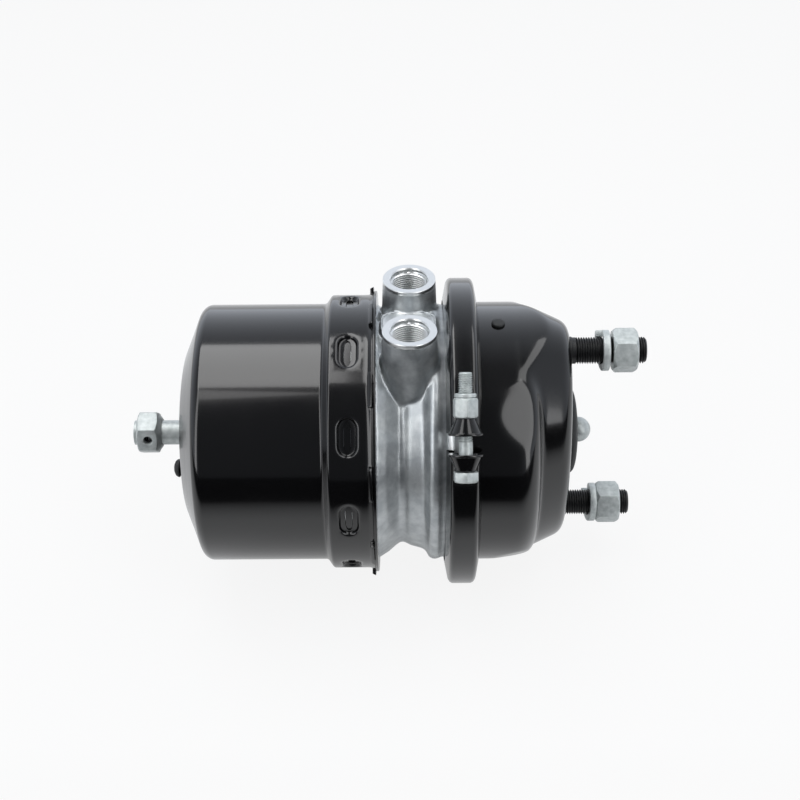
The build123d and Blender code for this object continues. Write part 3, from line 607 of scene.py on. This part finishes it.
tree.links.new(rough.outputs["Result"], skin.inputs["Roughness"])
tree.links.new(bump.outputs[0], skin.inputs["Normal"])


def hexagon(across, low, high, chamfer_low, chamfer_high, angle, bore=0.0):
    """A hexagonal prism along the chamber axis, its corners turned off at each end over the lengths
    given, and its bore countersunk."""
    corner, flat = across / sqrt(3), across / 2 - 0.4
    piece = start(bpy.ops.mesh.primitive_cylinder_add, vertices=6, radius=corner * mm,
                  depth=(high - low) * mm, rotation=(0, radians(90), 0),
                  location=((low + high) / 2 * mm, 0, 0))
    turn("X", angle)
    blank = draw(((low - 1, 0), (low - 1, flat - 1.2), (low, flat), (low + chamfer_low, corner + 0.3),
                  (high - chamfer_high, corner + 0.3), (high, flat), (high + 1, flat - 1.2), (high + 1, 0)))
    spin(72)
    cut(piece, blank, "INTERSECT")
    bpy.ops.object.mode_set(mode="EDIT")
    bpy.ops.mesh.select_all(action="SELECT")
    bpy.ops.mesh.dissolve_limited(angle_limit=radians(1))
    select("EDGE", lambda c, e: e.calc_face_angle(0) > radians(45))
    bpy.ops.mesh.bevel(offset=0.3 * mm, segments=3)
    if bore:
        hole = draw(((low - 3, 0), (low - 3, bore + 3.4), (low + 0.6, bore), (high - 0.6, bore),
                     (high + 3, bore + 3.4), (high + 3, 0)))
        spin(48)
        cut(piece, hole)
        bpy.ops.object.mode_set(mode="EDIT")
    return piece


def rod(first, last, pitch, root, crest, tip):
    """A threaded rod about the chamber axis, its far end turned to a blunt point over the tip length."""
    piece = thread(first, last, pitch, root, crest)
    for place in (first, last):
        select("EDGE", lambda c, e: e.is_boundary and abs(c.x - place) < 0.2)
        bpy.ops.mesh.edge_face_add()
    tidy()
    blank = draw(((first - 1, 0), (first - 1, crest + 1), (last - tip, crest + 0.1),
                  (last, crest + 0.1 - tip), (last, 0)))
    spin(48)
    cut(piece, blank, "INTERSECT")
    bpy.ops.object.mode_set(mode="EDIT")
    return piece


bolt = hexagon(13, -21, -15.15, 1.3, 0.0, 35)
shank = draw(((-15.4, 0), (-15.4, 3.95), (1.6, 3.95), (2.2, 3.4), (2.2, 0)))
spin(48)
screw = rod(1.8, 40.4, 1.25, 3.35, 4.0, 0.9)
join(bolt, shank, screw)
nut = hexagon(13, 15.15, 26.2, 1.3, 1.2, 37, bore=3.9)
collar = draw(((25.5, 3.9), (25.5, 5.6), (26.5, 5.6), (26.9, 6.2), (28.2, 6.2), (28.6, 5.8), (28.6, 5.0),
               (27.7, 3.9), (25.5, 3.9)))
spin(48)
join(nut, collar)
for piece, name, node in ((bolt, "closure_bolts", "clamp_bolts"), (nut, "closure_nuts", "clamp_nuts")):
    edit(piece)
    turn("Z", 90)
    shift(x=bolt_x, z=bolt_r)
    turn("X", bolt_bearing)
    # and the same at the second closure, half a turn on
    bpy.ops.mesh.duplicate()
    bpy.ops.transform.rotate(value=-radians(180), orient_axis="X", center_override=(0, 0, 0))
    done(piece, name, "housing", zinc, [node], angle=30)

# --- Service housing ---------------------------------------------------------------------------------
# Deep-drawn 3 mm steel: a cylinder with a rim for the clamp, a round shoulder, a drafted oval platform
# for the studs and two flats set into the shoulder. The forms flow into each other. Enamelled.
outer_r = 79.9
barrel = draw(((-80, 0), (-80, outer_r), (-21.3, outer_r), (-18.5, 56), (-18.5, 0)), rounds=((2, 12.0, 16),))
spin(288)
# the oval's half width and half height, 30 mm behind its face and at it
oval = start(bpy.ops.mesh.primitive_cylinder_add, vertices=288, radius=mm, depth=30 * mm,
             rotation=(0, radians(90), 0), location=(-15 * mm, 0, 0))
for place, wide, tall in ((-30, 62.39, 86.99), (0, 48.4, 73)):
    select("VERT", lambda c, v: abs(c.x - place) < 1)
    bpy.ops.transform.resize(value=(1, wide, tall), center_override=(0, 0, 0))
select("EDGE", lambda c, e: abs(c.x) < 0.01 and e.calc_face_angle(0) > 1)
bpy.ops.mesh.bevel(offset=5.4 * mm, segments=10)
within = start(bpy.ops.mesh.primitive_cylinder_add, vertices=288, radius=outer_r * mm, depth=80 * mm,
               rotation=(0, radians(90), 0), location=(-20 * mm, 0, 0))
cut(oval, within, "INTERSECT")
cut(barrel, oval, "UNION")
# the two flats start 45.5 mm behind the face and lean in by 10.5 degrees
for angle in (46, 134):
    flat = start(bpy.ops.mesh.primitive_cube_add, size=160 * mm, location=(0, 0, 80 * mm))
    turn("Y", 10.5)
    shift(x=-45.5, z=outer_r)
    turn("X", angle)
    cut(barrel, flat)

# a dome is pressed on to that form from outside, then smoothed as the sheet flows over the tool
housing = start(bpy.ops.mesh.primitive_uv_sphere_add, segments=288, ring_count=216, radius=130 * mm,
                rotation=(0, radians(90), 0), location=(-55 * mm, 0, 0))
select("VERT", lambda c, v: c.x < -62.7 or hypot(c.y, c.z) < 49)
bpy.ops.mesh.delete(type="VERT")
modify("SHRINKWRAP", target=barrel, wrap_method="PROJECT", use_negative_direction=True,
       use_positive_direction=False)
bpy.data.objects.remove(barrel)
bpy.ops.object.mode_set(mode="EDIT")
select("VERT", lambda c, v: not v.is_boundary and c.x > -58)
bpy.ops.mesh.vertices_smooth(factor=0.5, repeat=6)
# the hole for the boot is punched to size, and the open end is flared to the clamp's rim in two steps
select("EDGE", lambda c, e: e.is_boundary and c.x > -10)
bpy.ops.transform.resize(value=(1, 22 / 21.85, 22 / 21.85), center_override=(0, 0, 0))
select("EDGE", lambda c, e: e.is_boundary and c.x < -50)
for before, after in ((outer_r, 80.9), (80.9, 87.6)):
    bpy.ops.mesh.extrude_region_move()
    bpy.ops.transform.resize(value=(1, after / before, after / before), center_override=(0, 0, 0))
tidy()
# the rim misleads that into turning the open dome inside out
bpy.ops.mesh.flip_normals()
modify("SOLIDIFY", thickness=3.0 * mm, offset=-1, use_even_offset=True)
done(housing, "housing_pressing", "housing", enamel, ["service_housing"], angle=40)

# --- Mounting studs ----------------------------------------------------------------------------------
# M16 x 1.5 studs pressed through the housing from inside and threaded from its face to their tips.
# Black phosphate, oiled.
phosphate, tree, skin, place = new_finish("black_phosphate")
# crystals of the coating, a third of a millimetre across
crystal = add(tree, "ShaderNodeTexNoise", {"Scale": 1 / (0.33 * mm), "Detail": 3.0}, Vector=place)
tone = add(tree, "ShaderNodeValToRGB", Fac=crystal.outputs["Fac"])
tone.color_ramp.elements[0].position, tone.color_ramp.elements[0].color = 0.35, linear("#0c0d0d")
tone.color_ramp.elements[1].position, tone.color_ramp.elements[1].color = 0.7, linear("#1d1e20")
rough = add(tree, "ShaderNodeMapRange", {"To Min": 0.32, "To Max": 0.5}, Value=crystal.outputs["Fac"])
bump = add(tree, "ShaderNodeBump", {"Strength": 0.2, "Distance": 0.03 * mm}, Height=crystal.outputs["Fac"])
tree.links.new(tone.outputs["Color"], skin.inputs["Base Color"])
tree.links.new(rough.outputs["Result"], skin.inputs["Roughness"])
tree.links.new(bump.outputs[0], skin.inputs["Normal"])


def at_both_studs(angle_up, angle_down, back=0.0):
    """Copies the piece in hand to the two studs, turned about its own axis by an angle at each, the
    lower one moved back along its stud."""
    spacing = 120.65
    bpy.ops.mesh.select_all(action="SELECT")
    bpy.ops.mesh.duplicate()
    bpy.ops.transform.rotate(value=-radians(angle_down), orient_axis="X", center_override=(0, 0, 0))
    bpy.ops.transform.translate(value=(-back * mm, 0, -spacing / 2 * mm))
    bpy.ops.mesh.select_all(action="INVERT")
    bpy.ops.transform.rotate(value=-radians(angle_up), orient_axis="X", center_override=(0, 0, 0))
    bpy.ops.transform.translate(value=(0, 0, spacing / 2 * mm))


stud = draw(((-8.5, 0), (-8.5, 9.3), (-5.9, 9.3), (-3.2, 8.4), (0.9, 8.4), (1.3, 7.95), (3.3, 7.95),
             (3.9, 7.1), (3.9, 0)))
spin(48)
screw = rod(3.7, 45.5, 1.5, 7.0, 8.0, 1.4)
join(stud, screw)
at_both_studs(0, 120)
# the lower one is run in a little deeper
select("VERT", lambda c, v: c.z < 0 and c.x > 30)
bpy.ops.transform.translate(value=(-1.2 * mm, 0, 0))
done(stud, "stud_pair", "housing", phosphate, ["mounting_studs"], angle=30)

# --- Stud nuts and spring washers --------------------------------------------------------------------
# M16 nuts, 24 mm across flats, turned down at both ends, over split washers that have sprung open.
# Bright zinc plate.
nuts = hexagon(24, 25.3, 40.1, 2.3, 2.3, 8.5, bore=8.1)
at_both_studs(0, -4, back=1.8)
done(nuts, "stud_nut_pair", "housing", zinc, ["stud_nuts"], angle=30)

# split washers: a square section swept 350 degrees, its two open ends then capped
washers = draw(((19.3, 8.3), (23.3, 8.3), (23.3, 12.35), (19.3, 12.35), (19.3, 8.3)))
modify("SCREW", axis="X", angle=radians(350), steps=72, render_steps=72)
bpy.ops.object.mode_set(mode="EDIT")
bpy.ops.mesh.select_all(action="SELECT")
bpy.ops.mesh.remove_doubles(threshold=0.01 * mm)
bpy.ops.mesh.select_mode(type="EDGE")
bpy.ops.mesh.select_all(action="DESELECT")
bpy.ops.mesh.select_non_manifold()
bpy.ops.mesh.edge_face_add()
tidy()
select("EDGE", lambda c, e: e.calc_face_angle(0) > radians(45))
bpy.ops.mesh.bevel(offset=0.35 * mm, segments=2)
# one end is sprung 3.6 mm aside, and the ring behind it follows as far as the far side
select("VERT", lambda c, v: -11 < bearing(c) < -8)
bpy.ops.transform.translate(value=(-3.6 * mm, 0, 0), use_proportional_edit=True,
                            use_proportional_connected=True, proportional_edit_falloff="SMOOTH",
                            proportional_size=32 * mm)
at_both_studs(-33, -73)
done(washers, "stud_washer_pair", "housing", zinc, ["stud_spring_washers"], angle=30)

# --- Push rod boot, drum plug and vent button --------------------------------------------------------
# Compression-moulded black rubber. The boot is a domed disc held in the housing's hole by the groove
# round it; the plugs are buttons with a stem pressed through a hole.
rubber, tree, skin, place = new_finish("moulded_black_rubber")
skin.inputs["IOR"].default_value = 1.5
# a spark-eroded mould leaves grain 0.4 mm across, and a bloom of wax greys it in patches of a centimetre
grain = add(tree, "ShaderNodeTexNoise", {"Scale": 1 / (0.4 * mm), "Detail": 2.0}, Vector=place)
bloom = add(tree, "ShaderNodeTexNoise", {"Scale": 1 / (10 * mm), "Detail": 4.0}, Vector=place)
tone = add(tree, "ShaderNodeValToRGB", Fac=bloom.outputs["Fac"])
tone.color_ramp.elements[0].position, tone.color_ramp.elements[0].color = 0.35, linear("#141516")
tone.color_ramp.elements[1].position, tone.color_ramp.elements[1].color = 0.7, linear("#212324")
rough = add(tree, "ShaderNodeMapRange", {"To Min": 0.5, "To Max": 0.68}, Value=bloom.outputs["Fac"])
bump = add(tree, "ShaderNodeBump", {"Strength": 0.25, "Distance": 0.04 * mm}, Height=grain.outputs["Fac"])
tree.links.new(tone.outputs["Color"], skin.inputs["Base Color"])
tree.links.new(rough.outputs["Result"], skin.inputs["Roughness"])
tree.links.new(bump.outputs[0], skin.inputs["Normal"])

boot = draw(((-6.2, 19), (-5.6, 24.2), (-3.1, 24.6), (-3.1, 21.9), (0.04, 21.9), (0.04, 26.5), (0.8, 27.2),
             (3.2, 27.2), (4.9, 25.6), (6.0, 22.4), (6.7, 18), (6.9, 13.5), (6.5, 10.2), (5.4, 9.15),
             (3.4, 9.15), (4.6, 11.5), (4.8, 17), (3.4, 19.4), (-1, 19.4), (-6.2, 19)),
            rounds=((7, 0.8, 3), (8, 0.8, 3), (9, 1.0, 3), (10, 1.0, 3), (12, 0.8, 3), (13, 0.5, 3),
                    (14, 0.5, 2)))
spin(144)
done(boot, "push_rod_boot_seal", "housing", rubber, ["push_rod_boot"], angle=40)

plug = draw(((-238.5, 0), (-238.4, 2.4), (-237.5, 4.6), (-236, 5.5), (-235, 5.5), (-234.9, 2.9),
             (-228.2, 2.9), (-228.2, 0)),
            rounds=((2, 0.9, 4), (3, 0.6, 3), (4, 0.4, 2)))
spin(48)
shift(z=37.5)
turn("X", 86.5)
done(plug, "drum_plug_button", "housing", rubber, ["drum_plug"], angle=40)

button = draw(((76, 0), (76, 2.9), (79.95, 2.9), (79.95, 4), (81.2, 4), (81.9, 3.2), (82.1, 1.6), (82.1, 0)),
              rounds=((3, 0.3, 2), (4, 0.5, 3), (5, 0.5, 3)))
spin(48)
turn("Y", -90)
vent_low, vent_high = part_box("vent_plug")
shift(x=(vent_low[0] + vent_high[0]) / 2 / mm, y=(vent_low[1] + vent_high[1]) / 2 / mm)
done(button, "vent_button", "housing", rubber, ["vent_plug"], angle=40)

# --- Release hexagon and its pin ---------------------------------------------------------------------
# A 24 mm hexagon with a crowned end, cross-drilled and pinned on the spindle. Zinc plated; the slotted
# pin is black spring steel.
hole_x, hole_bearing = -258.2, 76
head = hexagon(24, -265.1, -252.3, 1.5, 1.4, 16)
crown = draw(((-264, 0), (-264, 10.8), (-265, 10.8), (-265.8, 8), (-266.3, 4), (-266.4, 0)))
spin(64)
shoulder = draw(((-253.6, 8), (-253.6, 11.6), (-252.35, 11.4), (-250.7, 9.2), (-250.3, 8.6),
                 (-250.3, 7.61), (-251.2, 7.61), (-253.6, 8)),
                rounds=((2, 0.3, 2), (3, 0.4, 3)))
spin(64)
# drilled while the head is one closed solid, so that the cut comes out the same each time
hole = start(bpy.ops.mesh.primitive_cylinder_add, vertices=48, radius=2.7 * mm, depth=30 * mm,
             location=(hole_x * mm, 0, 0))
turn("X", hole_bearing)
cut(head, hole)
bpy.ops.object.mode_set(mode="EDIT")
aside = cos(radians(hole_bearing)), sin(radians(hole_bearing))
select("EDGE", lambda c, e: (e.calc_face_angle(0) > radians(60)
                             and hypot(c.x - hole_x, c.y * aside[0] + c.z * aside[1]) < 2.8))
bpy.ops.mesh.bevel(offset=0.25 * mm, segments=2)
join(head, crown, shoulder)
done(head, "release_hexagon", "release_screw", zinc, ["spindle_hexagon"], angle=30)

blued, tree, skin, place = new_finish("oil_blackened_spring_steel")
skin.inputs["Metallic"].default_value = 0.9
# the oxide varies over a millimetre or so
oxide = add(tree, "ShaderNodeTexNoise", {"Scale": 1 / (1.2 * mm), "Detail": 3.0}, Vector=place)
tone = add(tree, "ShaderNodeValToRGB", Fac=oxide.outputs["Fac"])
tone.color_ramp.elements[0].color = linear("#1b1c1e")
tone.color_ramp.elements[1].color = linear("#34353a")
rough = add(tree, "ShaderNodeMapRange", {"To Min": 0.35, "To Max": 0.5}, Value=oxide.outputs["Fac"])
tree.links.new(tone.outputs["Color"], skin.inputs["Base Color"])
tree.links.new(rough.outputs["Result"], skin.inputs["Roughness"])
pin = draw(((-9.4, 1.6), (-9.1, 2.3), (-8.6, 2.6), (8.6, 2.6), (9.1, 2.3), (9.4, 1.6)))
spin(32, 330)
modify("SOLIDIFY", thickness=0.7 * mm, offset=-1)
bpy.ops.object.mode_set(mode="EDIT")
turn("Y", -90)
turn("X", hole_bearing)
shift(x=hole_x)
done(pin, "spindle_slotted_pin", "release_screw", blued, ["spindle_pin"], angle=40)

# --- Springs and diaphragm ---------------------------------------------------------------------------
# Cold-coiled spring steel with a grey-black epoxy coat, and a moulded rubber diaphragm with a woven core.
coat, tree, skin, place = new_finish("epoxy_coated_spring_steel")
# a sprayed powder's orange peel, 1.5 mm across
peel = add(tree, "ShaderNodeTexNoise", {"Scale": 1 / (1.5 * mm), "Detail": 2.0}, Vector=place)
tone = add(tree, "ShaderNodeValToRGB", Fac=peel.outputs["Fac"])
tone.color_ramp.elements[0].color = linear("#2a2c2f")
tone.color_ramp.elements[1].color = linear("#383b3f")
rough = add(tree, "ShaderNodeMapRange", {"To Min": 0.3, "To Max": 0.42}, Value=peel.outputs["Fac"])
bump = add(tree, "ShaderNodeBump", {"Strength": 0.15, "Distance": 0.1 * mm}, Height=peel.outputs["Fac"])
tree.links.new(tone.outputs["Color"], skin.inputs["Base Color"])
tree.links.new(rough.outputs["Result"], skin.inputs["Roughness"])
tree.links.new(bump.outputs[0], skin.inputs["Normal"])

nitrile, tree, skin, place = new_finish("nitrile_rubber")
skin.inputs["IOR"].default_value = 1.52
# the cords of the woven core print through as faint ribs 1.2 mm apart; a wave of scale 1 has 20 / 2 pi
# ribs to the metre
cords = add(tree, "ShaderNodeTexWave", {"Scale": 2 * pi / 20 / (1.2 * mm), "Distortion": 0.4},
            Vector=place)
bloom = add(tree, "ShaderNodeTexNoise", {"Scale": 1 / (8 * mm), "Detail": 3.0}, Vector=place)
tone = add(tree, "ShaderNodeValToRGB", Fac=bloom.outputs["Fac"])
tone.color_ramp.elements[0].color = linear("#17181a")
tone.color_ramp.elements[1].color = linear("#26282b")
rough = add(tree, "ShaderNodeMapRange", {"To Min": 0.42, "To Max": 0.6}, Value=bloom.outputs["Fac"])
bump = add(tree, "ShaderNodeBump", {"Strength": 0.12, "Distance": 0.05 * mm}, Height=cords.outputs["Fac"])
tree.links.new(tone.outputs["Color"], skin.inputs["Base Color"])
tree.links.new(rough.outputs["Result"], skin.inputs["Roughness"])
tree.links.new(bump.outputs[0], skin.inputs["Normal"])

# each copy of a drawn piece, its facets merged, with the bodies at its two ends and where those ends are
for node, name, finish, slot, angle, low_body, high_body, low, high in (
        ("power_spring", "power_spring_coil", coat, "spring_steel", 50,
         "housing", "spring_piston_group", -230.0, -190.1),
        ("return_spring", "return_spring_coil", coat, "spring_steel", 50,
         "push_rod_group", "housing", -84.1, -3.1),
        ("diaphragm", "diaphragm_moulding", nitrile, "seal_rubber", 30,
         "push_rod_group", "housing", -88.0, -67.0)):
    bpy.ops.object.select_all(action="DESELECT")
    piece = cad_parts[node].copy()
    piece.data = piece.data.copy()
    piece.parent = None
    # it is a piece of its own, without the notes that tie the drawn one to its body
    for key in list(piece.keys()):
        del piece[key]
    bpy.context.scene.collection.objects.link(piece)
    bpy.context.view_layer.objects.active = piece
    piece.select_set(True)
    bpy.ops.object.mode_set(mode="EDIT")
    bpy.ops.mesh.select_all(action="SELECT")
    bpy.ops.mesh.remove_doubles(threshold=0.005 * mm)
    bpy.ops.object.mode_set(mode="OBJECT")
    bpy.ops.object.shade_smooth_by_angle(angle=radians(angle))
    piece.name = piece.data.name = name
    piece.data.materials.clear()
    piece.data.materials.append(finish)
    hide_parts(node)
    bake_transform(piece)

# --- Pieces that keep their drawn shape --------------------------------------------------------------
# Turned, pressed and moulded pieces inside the chamber, and the push rod and spindle that come out of
# it. Each gets the finish that it is made with.
oiled, tree, skin, place = new_finish("oiled_turned_steel")
skin.inputs["Metallic"].default_value = 1.0
# tool marks 0.3 mm apart round the axis, under a film of oil
rings = add(tree, "ShaderNodeTexWave", {"Scale": 2 * pi / 20 / (0.3 * mm), "Distortion": 0.2},
            Vector=place)
tone = add(tree, "ShaderNodeValToRGB", Fac=rings.outputs["Fac"])
tone.color_ramp.elements[0].color = linear("#8b8c8e")
tone.color_ramp.elements[1].color = linear("#a2a3a5")
rough = add(tree, "ShaderNodeMapRange", {"To Min": 0.22, "To Max": 0.34}, Value=rings.outputs["Fac"])
tree.links.new(tone.outputs["Color"], skin.inputs["Base Color"])
tree.links.new(rough.outputs["Result"], skin.inputs["Roughness"])

acetal, tree, skin, place = new_finish("natural_acetal")
skin.inputs["IOR"].default_value = 1.48
skin.inputs["Subsurface Weight"].default_value = 0.15
skin.inputs["Subsurface Scale"].default_value = 1.5 * mm
# flow of the moulding, in clouds of 6 mm
flow = add(tree, "ShaderNodeTexNoise", {"Scale": 1 / (6 * mm), "Detail": 3.0}, Vector=place)
tone = add(tree, "ShaderNodeValToRGB", Fac=flow.outputs["Fac"])
tone.color_ramp.elements[0].color = linear("#ded9c8")
tone.color_ramp.elements[1].color = linear("#ebe7da")
rough = add(tree, "ShaderNodeMapRange", {"To Min": 0.38, "To Max": 0.5}, Value=flow.outputs["Fac"])
tree.links.new(tone.outputs["Color"], skin.inputs["Base Color"])
tree.links.new(rough.outputs["Result"], skin.inputs["Roughness"])

for finish, nodes in (
        (zinc, ("spindle_bush", "release_spindle", "piston_tube", "push_rod_plate", "push_rod")),
        (oiled, ("thrust_washer", "release_nut")),
        (bright, ("spring_piston",)),
        (nitrile, ("piston_seal", "flange_o_ring", "tube_seal")),
        (acetal, ("piston_guide_ring", "tube_foot", "tube_guide_ring"))):
    for node in nodes:
        for material_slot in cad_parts[node].material_slots:
            material_slot.material = finish
